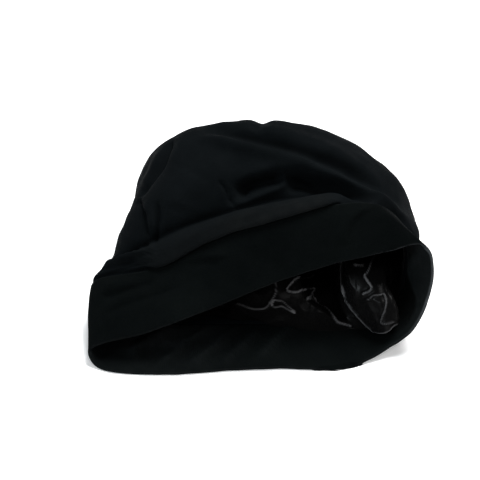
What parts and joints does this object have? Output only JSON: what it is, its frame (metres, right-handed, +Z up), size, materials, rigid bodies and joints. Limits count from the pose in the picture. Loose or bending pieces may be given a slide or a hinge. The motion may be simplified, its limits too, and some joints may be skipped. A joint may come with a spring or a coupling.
{
  "type": "skull cap",
  "caption": "Soft jersey skull cap with a wide hemmed band and a satin lining, lying on its back with its mouth open to the front.",
  "frame": {"origin": "on the surface that the cap lies on, under the middle of its bounding box", "axes": "+X from the pinched end of the mouth to its open end, +Y from the mouth to the back of the crown, +Z up"},
  "size_m": [0.2468, 0.1888, 0.1096],
  "materials": {
    "band_jersey": "doubled black cotton jersey, matt, folded at the rim",
    "crown_jersey": "black stretch jersey, matt with a faint sheen on its folds",
    "lining_satin": "black satin, slack and crumpled, with thin sharp highlights"
  },
  "bodies": {
    "root": {"band": "band_jersey", "crown": "crown_jersey", "lining": "lining_satin"}
  },
  "joints": []
}
